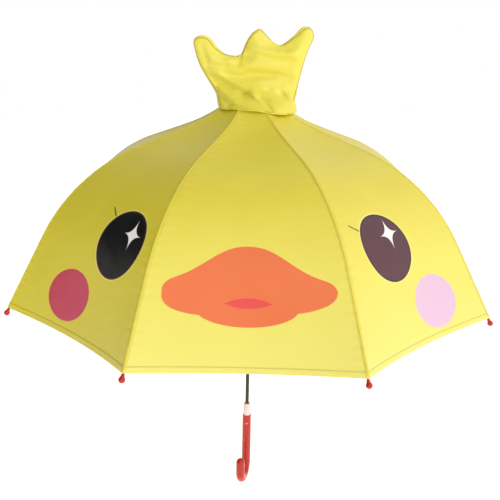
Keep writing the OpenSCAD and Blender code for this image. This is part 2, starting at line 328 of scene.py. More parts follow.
class Finish:
    """A material with one Principled shader, and short words for its textures."""

    def __init__(self, name):
        self.material = bpy.data.materials.new(name)
        self.material.use_nodes = True
        self.tree = self.material.node_tree
        self.shader = next(n for n in self.tree.nodes if n.type == "BSDF_PRINCIPLED")
        self.height = None

    def split(self, socket):
        node = self.tree.nodes.new("ShaderNodeSeparateXYZ")
        self.tree.links.new(socket, node.inputs[0])
        return tuple(Value(self.tree, o) for o in node.outputs)

    def attribute(self, name):
        node = self.tree.nodes.new("ShaderNodeAttribute")
        node.attribute_name = name
        return node.outputs["Vector"]

    def place(self):
        return self.tree.nodes.new("ShaderNodeTexCoord").outputs["Object"]

    def noise(self, vector, scale, detail=2.0, rough=0.5):
        node = self.tree.nodes.new("ShaderNodeTexNoise")
        self.tree.links.new(vector, node.inputs["Vector"])
        node.inputs["Scale"].default_value = scale
        node.inputs["Detail"].default_value = detail
        node.inputs["Roughness"].default_value = rough
        return Value(self.tree, node.outputs[0])

    def stretched_noise(self, scale, detail):
        """Noise drawn out along one axis, as drawn metal and moulded plastic are marked."""
        node = self.tree.nodes.new("ShaderNodeMapping")
        node.inputs["Scale"].default_value = scale
        self.tree.links.new(self.place(), node.inputs["Vector"])
        return self.noise(node.outputs[0], 1.0, detail)

    def feed(self, put, v):
        """Gives an input a number, a colour or another node's output."""
        if isinstance(v, Value):
            self.tree.links.new(v.socket, put)
        elif isinstance(v, bpy.types.NodeSocket):
            self.tree.links.new(v, put)
        else:
            put.default_value = v

    def mix(self, share, a, b):
        node = self.tree.nodes.new("ShaderNodeMix")
        node.data_type = "RGBA"
        for k, v in ((0, share), (6, a), (7, b)):
            self.feed(node.inputs[k], v)
        return node.outputs[2]

    def set(self, name, v):
        self.feed(self.shader.inputs[name], v)

    def bump(self, height, distance):
        node = self.tree.nodes.new("ShaderNodeBump")
        node.inputs["Distance"].default_value = distance
        node.inputs["Strength"].default_value = 1.0
        self.tree.links.new(height.socket, node.inputs["Height"])
        if self.height is not None:
            self.tree.links.new(self.height, node.inputs["Normal"])
        self.height = node.outputs[0]
        self.set("Normal", self.height)


# ---- Colours ----
YELLOW = srgb(232, 217, 58)
YELLOW_DEEP = srgb(226, 208, 44)
YELLOW_HEM_HIGHLIGHT = srgb(234, 223, 104)  # painted highlight: the paler yellow towards the hem
CREST_YELLOW = srgb(240, 228, 96)
THREAD = srgb(188, 160, 34)
CREST_THREAD = srgb(186, 154, 36)
PALE_LINE = srgb(250, 232, 130)
BEAK = srgb(230, 104, 28)
MOUTH = srgb(226, 52, 44)
CHEEK_LEFT = srgb(206, 54, 84)
CHEEK_RIGHT = srgb(224, 184, 208)
# the same dark ink on both eyes: painted shade makes it near-black on the left panel, painted sheen makes it
# lighter on the right panel
EYE_INK_IN_SHADE = srgb(5, 3, 4)
EYE_INK_IN_SHEEN = srgb(84, 44, 54)
EYE_RIM = srgb(58, 40, 18)
STAR = srgb(255, 250, 246)
LASH = srgb(62, 54, 16)
TURN = 2 * math.pi


def inside_ellipse(t, s, centre, semi, major):
    """Distance from an ellipse's middle, 1 on its edge. major is the direction of the first semi-axis."""
    x, y = t - centre[0], s - centre[1]
    p = (x * major[0] + y * major[1]) / semi[0]
    q = (y * major[0] - x * major[1]) / semi[1]
    return (p * p + q * q) ** 0.5


STAR_POWER = 0.5  # how hollow its sides are


def inside_star(t, s, centre, semi, lean):
    """A four-pointed star with hollow sides, 1 on its edge."""
    x, y = t - centre[0], s - centre[1]
    p = ((x * math.cos(lean) + y * math.sin(lean)) / semi[0]).abs()
    q = ((y * math.cos(lean) - x * math.sin(lean)) / semi[1]).abs()
    return p**STAR_POWER + q**STAR_POWER


def from_segment(t, s, start, end):
    """Distance from a straight mark, in millimetres."""
    dx, dy = end[0] - start[0], end[1] - start[1]
    length = math.hypot(dx, dy)
    dx, dy = dx / length, dy / length
    x, y = t - start[0], s - start[1]
    along = x * dx + y * dy
    past = (along - length / 2).abs() - length / 2
    off = y * dx - x * dy
    return (past.max(0.0) ** 2 + off * off) ** 0.5


EYES = {  # the printed eyes: which panel, then places across the panel and down the rib
    8: dict(centre=(46.2, 335.0), semi=(47.2, 42.6), major=(-0.42, 0.907), ink=EYE_INK_IN_SHADE,
            star=(62.5, 319.4), star_semi=(17.5, 22.0), lean=0.0, lash=((3.2, 291.6), (21.9, 309.0)),
            cheek=(-24.7, 420.3), cheek_semi=(42.4, 34.1), cheek_major=(0.991, -0.133), blush=CHEEK_LEFT),
    2: dict(centre=(-27.6, 335.4), semi=(48.4, 42.2), major=(0.6, 0.8), ink=EYE_INK_IN_SHEEN,
            star=(-15.0, 319.4), star_semi=(19.0, 22.0), lean=-0.06, lash=((-80.2, 296.6), (-61.0, 311.5)),
            cheek=(41.0, 421.6), cheek_semi=(41.5, 35.0), cheek_major=(0.96, 0.28), blush=CHEEK_RIGHT),
}
BEAK_MIDDLE = 2.5
BEAK_HALF = 99.5
BEAK_LEAN = 0.035  # its right end sits a little higher
WING_TOP = 364.8  # the level of the beak's upper edge beside its bump
WING_MIDDLE = 375.5
WING_ABOVE, WING_BELOW, WING_POWER = 62.0, 29.0, 2.6
BUMP_HEIGHT, BUMP_HALF = 43.1, 60.0
LIP_PLACE, LIP_HALF, LIP_DEPTH = 395.0, 59.0, 22.2
MOUTH_MIDDLE, MOUTH_PLACE, MOUTH_HALF = 1.3, 390.0, 28.0
MOUTH_ABOVE, MOUTH_BELOW = 6.8, 5.6


def beak_top(t):
    """The beak's upper edge: level wings with a round bump between them, and rounded ends."""
    bump = ((t.abs() / BUMP_HALF) ** 2.3 * -1.0).op("EXPONENT")
    ends = ((t - BEAK_MIDDLE).abs() / BEAK_HALF) ** 22.0
    return WING_TOP - BUMP_HEIGHT * bump + ends * 10.0


def print_beak(m, colour, t, s):
    """The beak and its mouth. Also gives where the ink is."""
    middle = WING_MIDDLE - (t - BEAK_MIDDLE) * BEAK_LEAN
    wings = (((t - BEAK_MIDDLE).abs() / BEAK_HALF) ** WING_POWER
             + ((s - middle).max(0.0) / WING_BELOW) ** WING_POWER
             + ((middle - s).max(0.0) / WING_ABOVE) ** WING_POWER)
    lip = (t / LIP_HALF) ** 2 + ((s - LIP_PLACE) / LIP_DEPTH) ** 2
    body = wings.below(1.0, 0.03).max(lip.below(1.0, 0.03)) * (beak_top(t) - s).below(0.0, 0.5)
    colour = m.mix(body, colour, BEAK)
    bow = 1.0 - ((t - MOUTH_MIDDLE) / MOUTH_HALF) ** 2
    upper, lower = (MOUTH_PLACE - MOUTH_ABOVE * bow) - s, s - (MOUTH_PLACE + MOUTH_BELOW * bow)
    mouth = upper.max(lower).below(0.0, 0.5)
    return m.mix(mouth, colour, MOUTH), body


def print_eye(m, colour, t, s, eye):
    """An eye, its lash, star and cheek. Also gives where the ink is, and where the eye is."""
    off = inside_ellipse(t, s, eye["centre"], eye["semi"], eye["major"])
    lash = from_segment(t, s, *eye["lash"]).below(0.9, 0.35)
    colour = m.mix(lash, colour, LASH)
    colour = m.mix(off.below(1.03, 0.008), colour, PALE_LINE)
    colour = m.mix(off.below(1.0, 0.008), colour, EYE_RIM)
    # the eye's ink, with painted shade on the left panel and painted sheen on the right
    colour = m.mix(off.below(0.945, 0.02), colour, eye["ink"])
    star = inside_star(t, s, eye["star"], eye["star_semi"], eye["lean"]).below(1.0, 0.03)
    colour = m.mix(star, colour, STAR)
    cheek = inside_ellipse(t, s, eye["cheek"], eye["cheek_semi"], eye["cheek_major"]).below(1.0, 0.012)
    pupil = off.below(1.0, 0.02)
    return m.mix(cheek, colour, eye["blush"]), pupil.max(cheek), pupil


HEM_HIGHLIGHTS = {8: 0.1, 1: 0.9, 2: 1.0}  # painted highlight: how far each printed panel pales towards its hem, most on the lit front and right panels
PLAIN_HEM_HIGHLIGHT = 0.5
HEM_HIGHLIGHT_FROM, HEM_HIGHLIGHT_OVER = 250.0, 220.0
SHOW_THROUGH = 0.3  # how much of the print is seen from inside the dome
STITCH = 2.6
WEAVE = 0.9
CLOTH_GLOSS = 0.8
EYE_GLOSS = 0.35
CLOTH_SHEEN, SHEEN_ROUGH = 0.05, 0.45
WEAR = 0.1  # how uneven the gloss of plastic is


def stitches(off, half, soft, along, gap):
    """A row of stitches: how far off its middle line, and how far along it."""
    return off.abs().below(half, soft) * ((along * (TURN / STITCH)).sin() * -1.0).below(gap, 0.2)


def canopy_finish(gore=None, inside=False):
    """Coated woven cloth, with the face printed on the panel that carries it."""
    m = Finish(f"canopy_cloth_{gore or 'plain'}" + ("_inside" if inside else ""))
    t, s, edge = m.split(m.attribute("cloth"))
    large = m.noise(m.place(), 9.0, 3.0)
    colour = m.mix((large - 0.3) * 1.6, YELLOW_DEEP, YELLOW)
    # painted highlight: paler towards the hem, by an amount set for each panel
    hem_highlight = (s - HEM_HIGHLIGHT_FROM).max(0.0) * (HEM_HIGHLIGHTS.get(gore, PLAIN_HEM_HIGHLIGHT) / HEM_HIGHLIGHT_OVER)
    colour = m.mix(hem_highlight, colour, YELLOW_HEM_HIGHLIGHT)
    bare, ink, dull = colour, None, None
    if gore == 1:
        colour, ink = print_beak(m, colour, t, s)
    elif gore in EYES:
        colour, ink, dull = print_eye(m, colour, t, s, EYES[gore])
    if inside:
        colour = m.mix(SHOW_THROUGH, bare, colour)
    # one row of stitches along the hem, and one beside each seam
    hem_row = stitches(s - (RIB_LENGTH - HEM_WIDTH + 1.2), 0.45, 0.15, t, 0.35)
    seam_row = stitches(edge - 2.8, 0.4, 0.15, s, 0.35)
    thread = hem_row.max(seam_row)
    colour = m.mix(thread * 0.35, colour, THREAD)
    # painted shade: a darker strip within a few millimetres of each seam
    seam_shade = edge.below(2.0, 2.0) * 0.25
    colour = m.mix(seam_shade, colour, YELLOW_DEEP)
    m.set("Base Color", colour)
    patches = m.noise(m.place(), 60.0, 4.0)
    rough = 0.4 + (patches - 0.5) * 0.16
    if ink is not None:
        rough = rough - ink * 0.18
    m.set("Roughness", rough)
    gloss = CLOTH_GLOSS if dull is None else dull * (EYE_GLOSS - CLOTH_GLOSS) + CLOTH_GLOSS
    m.set("Specular IOR Level", gloss)
    m.set("Sheen Weight", CLOTH_SHEEN)
    m.set("Sheen Roughness", SHEEN_ROUGH)
    # puckers that the seams pull in, then the hem's and seams' thread, then the weave
    wander = m.noise(m.place(), 30.0, 2.0) * 5.0
    pucker = (s * (TURN / 13.0) + wander).sin() * (edge * -0.13).op("EXPONENT")
    m.bump(pucker, 0.35 * MM)
    m.bump(m.noise(m.place(), 14.0, 3.0), 2.2 * MM)
    m.bump(thread, 0.25 * MM)
    weave = (t * (TURN / WEAVE)).sin() * (s * (TURN / WEAVE)).sin()
    m.bump(weave, 0.045 * MM)
    return m.material


def crest_finish():
    """The crest's cloth, the canopy's own but a little duller and softer."""
    m = Finish("crest_cloth")
    x, _, z = m.split(m.place())
    large = m.noise(m.place(), 16.0, 3.0)
    m.set("Base Color", m.mix((large - 0.3) * 1.6, YELLOW, CREST_YELLOW))
    m.set("Roughness", 0.48 + (m.noise(m.place(), 70.0, 4.0) - 0.5) * 0.16)
    m.set("Specular IOR Level", CLOTH_GLOSS)
    m.set("Sheen Weight", CLOTH_SHEEN)
    m.set("Sheen Roughness", SHEEN_ROUGH)
    m.bump(m.noise(m.place(), 45.0, 3.0), 1.2 * MM)
    m.bump((x * (TURN / (WEAVE * MM))).sin() * (z * (TURN / (WEAVE * MM))).sin(), 0.045 * MM)
    return m.material


def thread_finish(name, colour):
    """Twisted thread or binding, with a slanted twist."""
    m = Finish(name)
    x, y, z = m.split(m.place())
    twist = ((x + y + z * 2.0) * (TURN / (2.4 * MM))).sin()
    darker = tuple(c * 0.72 for c in colour[:3]) + (1.0,)
    m.set("Base Color", m.mix(twist * 0.35 + 0.4, colour, darker))
    m.set("Roughness", 0.62 + m.noise(m.place(), 200.0) * 0.1)
    m.set("Sheen Weight", 0.2)
    m.bump(twist, 0.12 * MM)
    return m.material


def seam_finish():
    """The felled seam over each rib: two rows of stitches on a narrow turned strip."""
    m = Finish("seam_cloth")
    q, s, _ = m.split(m.attribute("cloth"))
    row = stitches(q.abs() - 1.1, 0.28, 0.12, s, 0.3)
    m.set("Base Color", m.mix(row * 0.7, m.mix(m.noise(m.place(), 40.0, 3.0), YELLOW, YELLOW_DEEP), THREAD))
    m.set("Roughness", 0.52 + m.noise(m.place(), 90.0, 3.0) * 0.08)
    m.set("Specular IOR Level", CLOTH_GLOSS)
    m.set("Sheen Weight", CLOTH_SHEEN)
    m.bump((s * (TURN / STITCH)).sin(), 0.1 * MM)
    m.bump(row, 0.15 * MM)
    return m.material


def plastic_finish(name, colour, rough, coat=0.0):
    """Moulded plastic: a faint orange-peel, fine scratches and slightly duller worn patches."""
    m = Finish(name)
    dull = tuple(c * 0.82 for c in colour[:3]) + (1.0,)
    m.set("Base Color", m.mix(m.noise(m.place(), 35.0, 4.0), colour, dull))
    scratches = m.stretched_noise((900.0, 900.0, 60.0), 2.0)
    m.set("Roughness", rough + (m.noise(m.place(), 50.0, 4.0) - 0.5) * WEAR + (scratches - 0.5) * WEAR * 0.6)
    m.set("Coat Weight", coat)
    m.set("Coat Roughness", 0.12)
    m.bump(m.noise(m.place(), 420.0, 2.0), 0.03 * MM)
    m.bump(scratches, 0.008 * MM)
    return m.material


def metal_finish(name, colour, rough, metallic=1.0):
    """Drawn or painted steel: grain along the length, stains and small bright wear."""
    m = Finish(name)
    lines = m.stretched_noise((1200.0, 1200.0, 30.0), 3.0)
    stains = m.noise(m.place(), 70.0, 5.0, 0.6)
    bright = tuple(min(1.0, c * 1.5 + 0.01) for c in colour[:3]) + (1.0,)
    m.set("Base Color", m.mix(stains * 0.6 + lines * 0.3, colour, bright))
    m.set("Metallic", metallic)
    m.set("Roughness", rough + (stains - 0.5) * 0.2 + (lines - 0.5) * 0.12)
    m.bump(lines, 0.02 * MM)
    return m.material


plain_cloth = canopy_finish()
panel_cloth = {g: canopy_finish(g) for g in (1, 2, 8)}
panel_inside = {g: canopy_finish(g, inside=True) for g in (1, 2, 8)}
crest_cloth = crest_finish()
seam_cloth = seam_finish()
yellow_thread = thread_finish("yellow_thread", THREAD)
crest_thread = thread_finish("crest_thread", CREST_THREAD)
red_plastic = plastic_finish("red_plastic", srgb(190, 20, 17), 0.26, coat=0.15)
pale_plastic = plastic_finish("pale_plastic", srgb(240, 222, 230), 0.34, coat=0.3)
black_plastic = plastic_finish("black_plastic", srgb(34, 34, 35), 0.42)
black_steel = metal_finish("black_steel", srgb(38, 38, 39), 0.34, metallic=0.3)
bright_steel = metal_finish("bright_steel", srgb(176, 176, 172), 0.3)
spring_steel = metal_finish("spring_steel", srgb(150, 150, 146), 0.26)
rib_steel = metal_finish("rib_steel", srgb(70, 71, 73), 0.38, metallic=0.8)
red_snap = plastic_finish("red_snap", srgb(206, 48, 44), 0.3, coat=0.4)

CAD_FINISH = {"shaft": black_steel, "handle": red_plastic, "handle_pin": bright_steel, "collar": pale_plastic,
              "crown": black_plastic, "crown_wire": bright_steel, "top_cap": pale_plastic,
              "runner": black_plastic, "runner_wire": bright_steel,
              "top_catch": spring_steel, "bottom_catch": spring_steel, "strap_snap": red_snap}
for i in range(1, RIBS + 1):
    CAD_FINISH[f"tip_{i}"] = red_plastic
    CAD_FINISH[f"stretcher_{i}"] = rib_steel
for node, finish in CAD_FINISH.items():
    data = frame["nodes"][node].data
    data.materials.clear()
    data.materials.append(finish)

# ---- Camera ----
AIM_BELOW_CROWN = 222.2
TARGET = Vector((0, 0, (CROWN - AIM_BELOW_CROWN) * MM))
DISTANCE = 1083.5 * MM
LENS = 51.23
CAMERA_UP, CAMERA_TURN, CAMERA_ROLL = (radians(a) for a in (16.164, 0.40, -1.107))
back = Vector((math.cos(CAMERA_UP) * math.sin(CAMERA_TURN), -math.cos(CAMERA_UP) * math.cos(CAMERA_TURN),
               math.sin(CAMERA_UP)))
camera = bpy.data.objects.new("camera", bpy.data.cameras.new("camera"))
scene.collection.objects.link(camera)
scene.camera = camera
camera.location = TARGET + back * DISTANCE
camera.data.lens = LENS
camera.data.sensor_width = 36.0
right = Vector((0, 0, 1)).cross(back).normalized()
upright = back.cross(right)
rolled_right = right * math.cos(CAMERA_ROLL) - upright * math.sin(CAMERA_ROLL)
rolled_up = right * math.sin(CAMERA_ROLL) + upright * math.cos(CAMERA_ROLL)
camera.rotation_mode = "QUATERNION"
turned = np.column_stack([rolled_right, rolled_up, back])
camera.rotation_quaternion = Matrix(turned.tolist()).to_quaternion()

# ---- Canopy: each panel is four sheets, split at its middle and at the bend, the upper pair and the lower pair each carried by one of the panel's bodies ----
joints = {j["name"]: j for j in frame["joints"]}
FOLD_TURN = radians(joints["panel_fold_1"]["range_deg"][1])
LOWER_TURN = FOLD_TURN - radians(joints["panel_flex_1"]["range_deg"][1])


def mid_line(s):
    """(out, up) of a panel's middle line at s."""
    p = cloth(s, 0.0, 0.0)
    return np.array([p[0], p[2]])


def turned_by(p, angle):
    """(out, up) turned down by an angle about the across axis."""
    return np.array([p[0] * math.cos(angle) + p[1] * math.sin(angle),
                     -p[0] * math.sin(angle) + p[1] * math.cos(angle)])


def fold_axis(turn, start, end, side, azimuth):
    """The direction that a half panel flattens along, in the row frame at rest."""
    along = turned_by(end - start, turn)
    across = np.array([-math.sqrt(1 - FOLD_COS**2), side * FOLD_COS, 0.0])
    axis = np.cross(across, [along[0], 0.0, along[1]])
    out, up = turned_by((axis[0], axis[2]), -turn)
    return tuple(turned_out(np.array([out, axis[1], up]), azimuth))


def hem_thick(s):
    return HEM_FOLD * np.clip((s - (RIB_LENGTH - HEM_WIDTH)) / 0.5, 0, 1)


def panel_normals(s, f):
    """Outward normals of the outer face, so that neighbouring sheets shade as one."""
    step = 0.15
    along = cloth(s + step, f, -hem_thick(s + step)) - cloth(s - step, f, -hem_thick(s - step))
    across = cloth(s, f + step / 50, -hem_thick(s)) - cloth(s, f - step / 50, -hem_thick(s))
    n = np.cross(across, along)
    n /= np.linalg.norm(n, axis=-1)[..., None]
    return np.where(n[..., 2:] < 0, -n, n)


def sheet_half(name, rows, cols, azimuth, side, finish, inside):
    """One closed thin sheet: rows are values of s, and cols shares of the way from the middle to the seam."""
    s, f = np.meshgrid(rows, side * np.asarray(cols), indexing="ij")
    outer = at_azimuth(cloth(s, f, -hem_thick(s)), azimuth)
    inner = at_azimuth(cloth(s, f, SHEET_THICK), azimuth)
    count_s, count_f = s.shape
    total = count_s * count_f
    flip = side > 0
    faces = grid_faces(count_s, count_f, flip=flip) + grid_faces(count_s, count_f, start=total, flip=not flip)
    sheet_faces = len(faces)
    ring = border(count_s, count_f)
    for a, b in zip(ring, ring[1:] + ring[:1]):
        faces.append((a, b, total + b, total + a) if not flip else (b, a, total + a, total + b))
    made = new_object(name, np.concatenate([outer.reshape(-1, 3), inner.reshape(-1, 3)]), faces)
    made.data.materials.append(finish)
    made.data.materials.append(inside)
    for polygon in made.data.polygons:
        polygon.material_index = int(sheet_faces / 2 <= polygon.index < sheet_faces)
    sharp = set()
    for a, b in zip(ring, ring[1:] + ring[:1]):
        sharp |= {frozenset((a, b)), frozenset((total + a, total + b)), frozenset((a, total + a))}
    for rim_edge in made.data.edges:
        rim_edge.use_edge_sharp = frozenset(rim_edge.vertices) in sharp
    # the distance to the seam places the seam's stitches, puckers and painted shade
    edge = half_width(s) * (1 - np.abs(f))
    marks = np.stack([f * half_width(s), s, edge], -1).reshape(-1, 3)
    add_attribute(made, "cloth", np.concatenate([marks, marks]))
    n = turned_out(panel_normals(s, f).reshape(-1, 3), azimuth)
    corner = []
    for polygon in made.data.polygons:
        for v in polygon.vertices:
            if polygon.index < sheet_faces:
                corner.append(n[v] if v < total else -n[v - total])
            else:
                corner.append(np.array(polygon.normal))
    made.data.normals_split_custom_set([tuple(c) for c in corner])
    return made


def flat_area(start, end):
    """The cut area of half a panel between two places along the rib, in square metres."""
    s = np.linspace(start, end, 200)
    return float(np.sum((half_width(s[1:]) + half_width(s[:-1])) / 2 * np.diff(s))) * MM * MM


upper_rows = np.concatenate([np.linspace(INNER, 100, 24), np.linspace(104, BEND, 36)])
lower_rows = np.concatenate([np.linspace(BEND, 461.5, 44), [462.0, 462.5], np.linspace(464, RIB_LENGTH, 4)])
ridge = mid_line(BEND)
anchor_point = np.array([ridge[0], 0.0, ridge[1]])
for gore in range(1, RIBS + 1):
    azimuth = STEP * (gore - 1)
    anchor = at_azimuth(anchor_point, azimuth)
    for side, letter in ((-1, "l"), (1, "r")):
        printed = (panel_cloth.get(gore, plain_cloth), panel_inside.get(gore, plain_cloth))
        parts = (("upper", upper_rows, 19, FOLD_TURN, mid_line(INNER), ridge, (plain_cloth, plain_cloth)),
                 ("lower", lower_rows, 29, LOWER_TURN, ridge, mid_line(RIB_LENGTH), printed))
        for part, rows, count, turn, start, end, finishes in parts:
            shares = np.linspace(0, 1, count)
            piece = sheet_half(f"canopy_{part}_{gore}_{letter}", rows, shares, azimuth, side, *finishes)
            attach(piece, f"panel_{part}_{gore}")
            axis = fold_axis(turn, start, end, side, azimuth)
            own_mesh(piece)
            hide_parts(f"panel_{part}_{gore}")
            low, high = float(rows[0]), float(rows[-1])
            float(half_width(high)) * MM
            flat_area(low, high)

# ---- Ribs, each with the seam over it and the threads that tie the cloth to it ----
ROD_INSET = 2.6  # the rod's middle is this far under the cloth
BLEND_FROM, BLEND_TO = 232.0, 304.0  # the stretch that bends as the umbrella closes
TIES = (92.0, 158.0, 246.0, 322.0, 396.0)
TIE_PITCH = 0.9
TIE_RADIUS = 1.75
TIE_THREAD = 0.35
SEAM_EDGE = ((-2.0, -0.1), (-1.75, 0.22), (-1.1, 0.42), (-0.4, 0.5))  # across, and above the cloth


def rod_point(s):
    """The rod's middle at s, in the rib's own frame."""
    return np.array([line_r(s) - ROD_INSET * np.sin(slope(s)), 0.0, line_z(s) - ROD_INSET * np.cos(slope(s))])


def tie_ring(s):
    """Two turns of thread round the rib and through the seam."""
    centre, angle = rod_point(s), float(slope(s))
    down = np.array([math.cos(angle), 0, -math.sin(angle)])
    up = np.array([math.sin(angle), 0, math.cos(angle)])
    sideways = np.array([0, 1.0, 0])
    path = []
    for k in np.linspace(0, 2 * TURN, 40):
        advance = down * (TIE_PITCH * k / TURN - TIE_PITCH)
        path.append(centre + advance + TIE_RADIUS * (math.cos(k) * sideways + math.sin(k) * up))
    return tube(path, TIE_THREAD, 6)


def tied_rod(i, azimuth):
    """A rib's rod as CAD has it, with its ties added."""
    cad = frame["nodes"][f"rib_{i}"]
    points, faces = merged([tie_ring(s) for s in TIES])
    points = at_azimuth(np.array(points), azimuth)
    rod_points = [tuple(v.co) for v in cad.data.vertices]
    rod_faces = [tuple(p.vertices) for p in cad.data.polygons]
    points, faces = merged([(rod_points, rod_faces), (points, faces)])
    rod = new_object(f"rod_{i}", points, faces)
    for polygon in rod.data.polygons:
        polygon.material_index = int(polygon.index >= len(rod_faces))
    bm = bmesh.new()
    bm.from_mesh(rod.data)
    bmesh.ops.remove_doubles(bm, verts=bm.verts, dist=1e-6)
    bm.to_mesh(rod.data)
    bm.free()
    rod.data.materials.append(rib_steel)
    rod.data.materials.append(yellow_thread)
    rod.data.set_sharp_from_angle(angle=radians(40))
    return rod


def felled_seam(i, azimuth):
    """The flat strip of folded cloth over a rib."""
    shape = SEAM_EDGE + tuple((-q, h) for q, h in SEAM_EDGE[::-1])
    seam_s = np.linspace(INNER + 2, RIB_LENGTH - 1.5, 190)
    top = [over_rib(seam_s, np.full_like(seam_s, q), np.full_like(seam_s, h)) for q, h in shape]
    under = over_rib(seam_s, np.zeros_like(seam_s), np.full_like(seam_s, -SHEET_THICK - 0.15))
    ring = np.stack(top + [under], 1)
    cols = ring.shape[1]
    faces = grid_faces(len(seam_s), cols, wrap=True)
    faces += [tuple(range(cols)), tuple(((len(seam_s) - 1) * cols + j) for j in range(cols))[::-1]]
    seam = new_object(f"seam_{i}", at_azimuth(ring.reshape(-1, 3), azimuth), faces)
    outward(seam)
    across = [q for q, _ in shape] + [0.0]
    add_attribute(seam, "cloth", [(q, s, 0.0) for s in seam_s for q in across])
    seam.data.materials.append(seam_cloth)
    return seam


for i in range(1, RIBS + 1):
    azimuth = HALF + STEP * (i - 1)
    start, end = at_azimuth(rod_point(BLEND_FROM), azimuth), at_azimuth(rod_point(BLEND_TO), azimuth)
    rod = tied_rod(i, azimuth)
    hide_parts(f"rib_{i}")
    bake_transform(rod)
    seam = felled_seam(i, azimuth)
    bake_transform(seam)

# ---- Closure strap, folded back on itself over the rear seam ----
STRAP_START, STRAP_LENGTH, STRAP_HALF, STRAP_THICK = 368.0, 88.0, 7.8, 0.95
STRAP_STEPS = 30
STRAP_RIB = 5
# the lower layer, the fold and the upper layer, as places along the seam and above it
lower_layer = [(STRAP_LENGTH - 1.0 - k * (STRAP_LENGTH - 3) / STRAP_STEPS, 1.15 + 0.04 * math.sin(k))
               for k in range(STRAP_STEPS + 1)]
strap_fold = [(2.0 - math.sin(a), 1.75 - 0.62 * math.cos(a)) for a in np.linspace(0.3, math.pi - 0.3, 7)]
upper_layer = [(2.0 + k * (STRAP_LENGTH - 5) / STRAP_STEPS, 2.42 + 0.05 * math.sin(1.3 * k))
               for k in range(STRAP_STEPS + 1)]
strap_path = np.array(lower_layer + strap_fold + upper_layer)
direction = np.gradient(strap_path, axis=0)
direction /= np.linalg.norm(direction, axis=1)[:, None]
normal = np.stack([-direction[:, 1], direction[:, 0]], 1)
strap_q = np.array([-1.0, -0.97, -0.9, -0.6, -0.2, 0.2, 0.6, 0.9, 0.97, 1.0]) * STRAP_HALF
strap_layers = []
for sign in (1, -1):
    edge_thin = np.where(np.abs(strap_q) > STRAP_HALF * 0.98, 0.55, 1.0)
    spot = strap_path[:, None, :] + sign * normal[:, None, :] * (STRAP_THICK / 2 * edge_thin)[None, :, None]
    s = STRAP_START + spot[..., 0]
    out = line_r(s) + spot[..., 1] * math.sin(TIP_SLOPE)
    up = line_z(s) + spot[..., 1] * math.cos(TIP_SLOPE)
    strap_layers.append(np.stack([out, np.broadcast_to(strap_q, s.shape), up], -1))
rows, cols = strap_layers[0].shape[:2]
faces = grid_faces(rows, cols) + grid_faces(rows, cols, start=rows * cols, flip=True)
ring = border(rows, cols)
faces += [(a, b, rows * cols + b, rows * cols + a) for a, b in zip(ring, ring[1:] + ring[:1])]
points = np.concatenate([layer.reshape(-1, 3) for layer in strap_layers])
strap = new_object("strap_band", at_azimuth(points, HALF + STEP * (STRAP_RIB - 1)), faces)
outward(strap)
length_along = np.repeat(np.arange(rows) * (2 * STRAP_LENGTH / rows), cols)
# the third value, the distance to the band's long edge, also draws the painted seam shade along its edges
marks = np.stack([np.tile(strap_q, rows), length_along, np.tile(STRAP_HALF - np.abs(strap_q), rows)], -1)
add_attribute(strap, "cloth", np.concatenate([marks, marks]))
strap.data.materials.append(plain_cloth)
strap.data.set_sharp_from_angle(angle=radians(50))
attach(strap, f"rib_end_{STRAP_RIB}")
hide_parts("strap")

# ---- Crest: a padded pouch, swollen by simulation, with folds and seams worked in afterwards ----
CREST_EDGE = [  # the three lobes' outline as (x, z) from the crown, clockwise from the foot on the left
    (-38, -18), (-54, 11), (-67, 30), (-79, 50), (-86, 70), (-88, 81), (-83, 88), (-72, 90), (-62, 86),
    (-54, 77), (-43, 69), (-31, 66), (-22, 67), (-20, 63), (-18, 71), (-11, 86), (-3, 97), (8, 103),
    (16, 97), (24, 89), (33, 84), (40, 83), (49, 88), (60, 96), (68, 103), (78, 105), (85, 98),
    (86, 87), (80, 73), (73, 51), (66, 23), (61, 3), (56, -18),
]
CREST_FOLDS = [  # start and end as (x, z), then height (below zero is a valley) and width
    ((-59, 33), (-12, 11), -2.6, 4.5), ((-12, 11), (20, -8), -2.2, 4.5), ((-45, 35), (0, 14), 1.8, 4.5),
    ((0, 14), (16, -3), 1.6, 4.0), ((-48, 7), (-30, -4), -2.2, 4.0), ((-30, -4), (-10, -9), -1.6, 3.5),
    ((-56, 20), (-26, 4), 1.4, 4.0), ((23, 16), (41, 11), -1.8, 4.0), ((41, 11), (55, -5), -1.8, 4.0),
    ((10, 7), (23, -7), -1.8, 3.5), ((28, 4), (44, -6), 1.4, 4.0), ((-12, 66), (52, 56), -1.3, 5.0),
    ((-8, 73), (55, 66), 0.9, 5.0), ((-63, 49), (-24, 48), -1.1, 4.5), ((-6, 42), (25, 37), -0.9, 5.0),
    ((10, 29), (60, 26), 0.9, 6.0), ((-60, 62), (-36, 57), 0.8, 4.0), ((-72, 72), (-66, 56), -0.8, 3.5),
]
POUCH_HALF = 5.0
POUCH_VOXEL = 2.8
POUCH_FRAMES = 18
POUCH_PRESSURE = 3.2
POUCH_CAP = 9.0  # no place swells further than this
FOLD_STRENGTH = 2.1
BACK_SOFTER = 0.8  # the back's folds are a little softer
SEAM_INSET = 3.6
SEAM_GROOVE, GROOVE_HALF = 1.1, 1.3
SEAM_RADIUS = 0.55
SEAM_FOOT = 2.0  # where the outline's seam ends above the canopy
SEAM_STEP = 7.0  # a longer step between two seam points is a gap
CUT_INSET = 0.6
SKIRT_LEVELS = (-22, -9, 0, 8, 17, 26, 36, 48)
SKIRT_DEPTHS = (50, 49, 39, 28, 18, 10, 4, 0)
SKIRT_MIDDLE = 7.0
SKIRT_HALF = 59.0
SKIRT_POWER = 2.2
SKIRT_LIFT = 0.6
BASE_HALF_X, BASE_HALF_Y, BASE_MIDDLE = 48.0, 51.0, 8.0  # the corded edge round the crest's foot
BASE_POWER = 0.77
BASE_CORD = 0.9


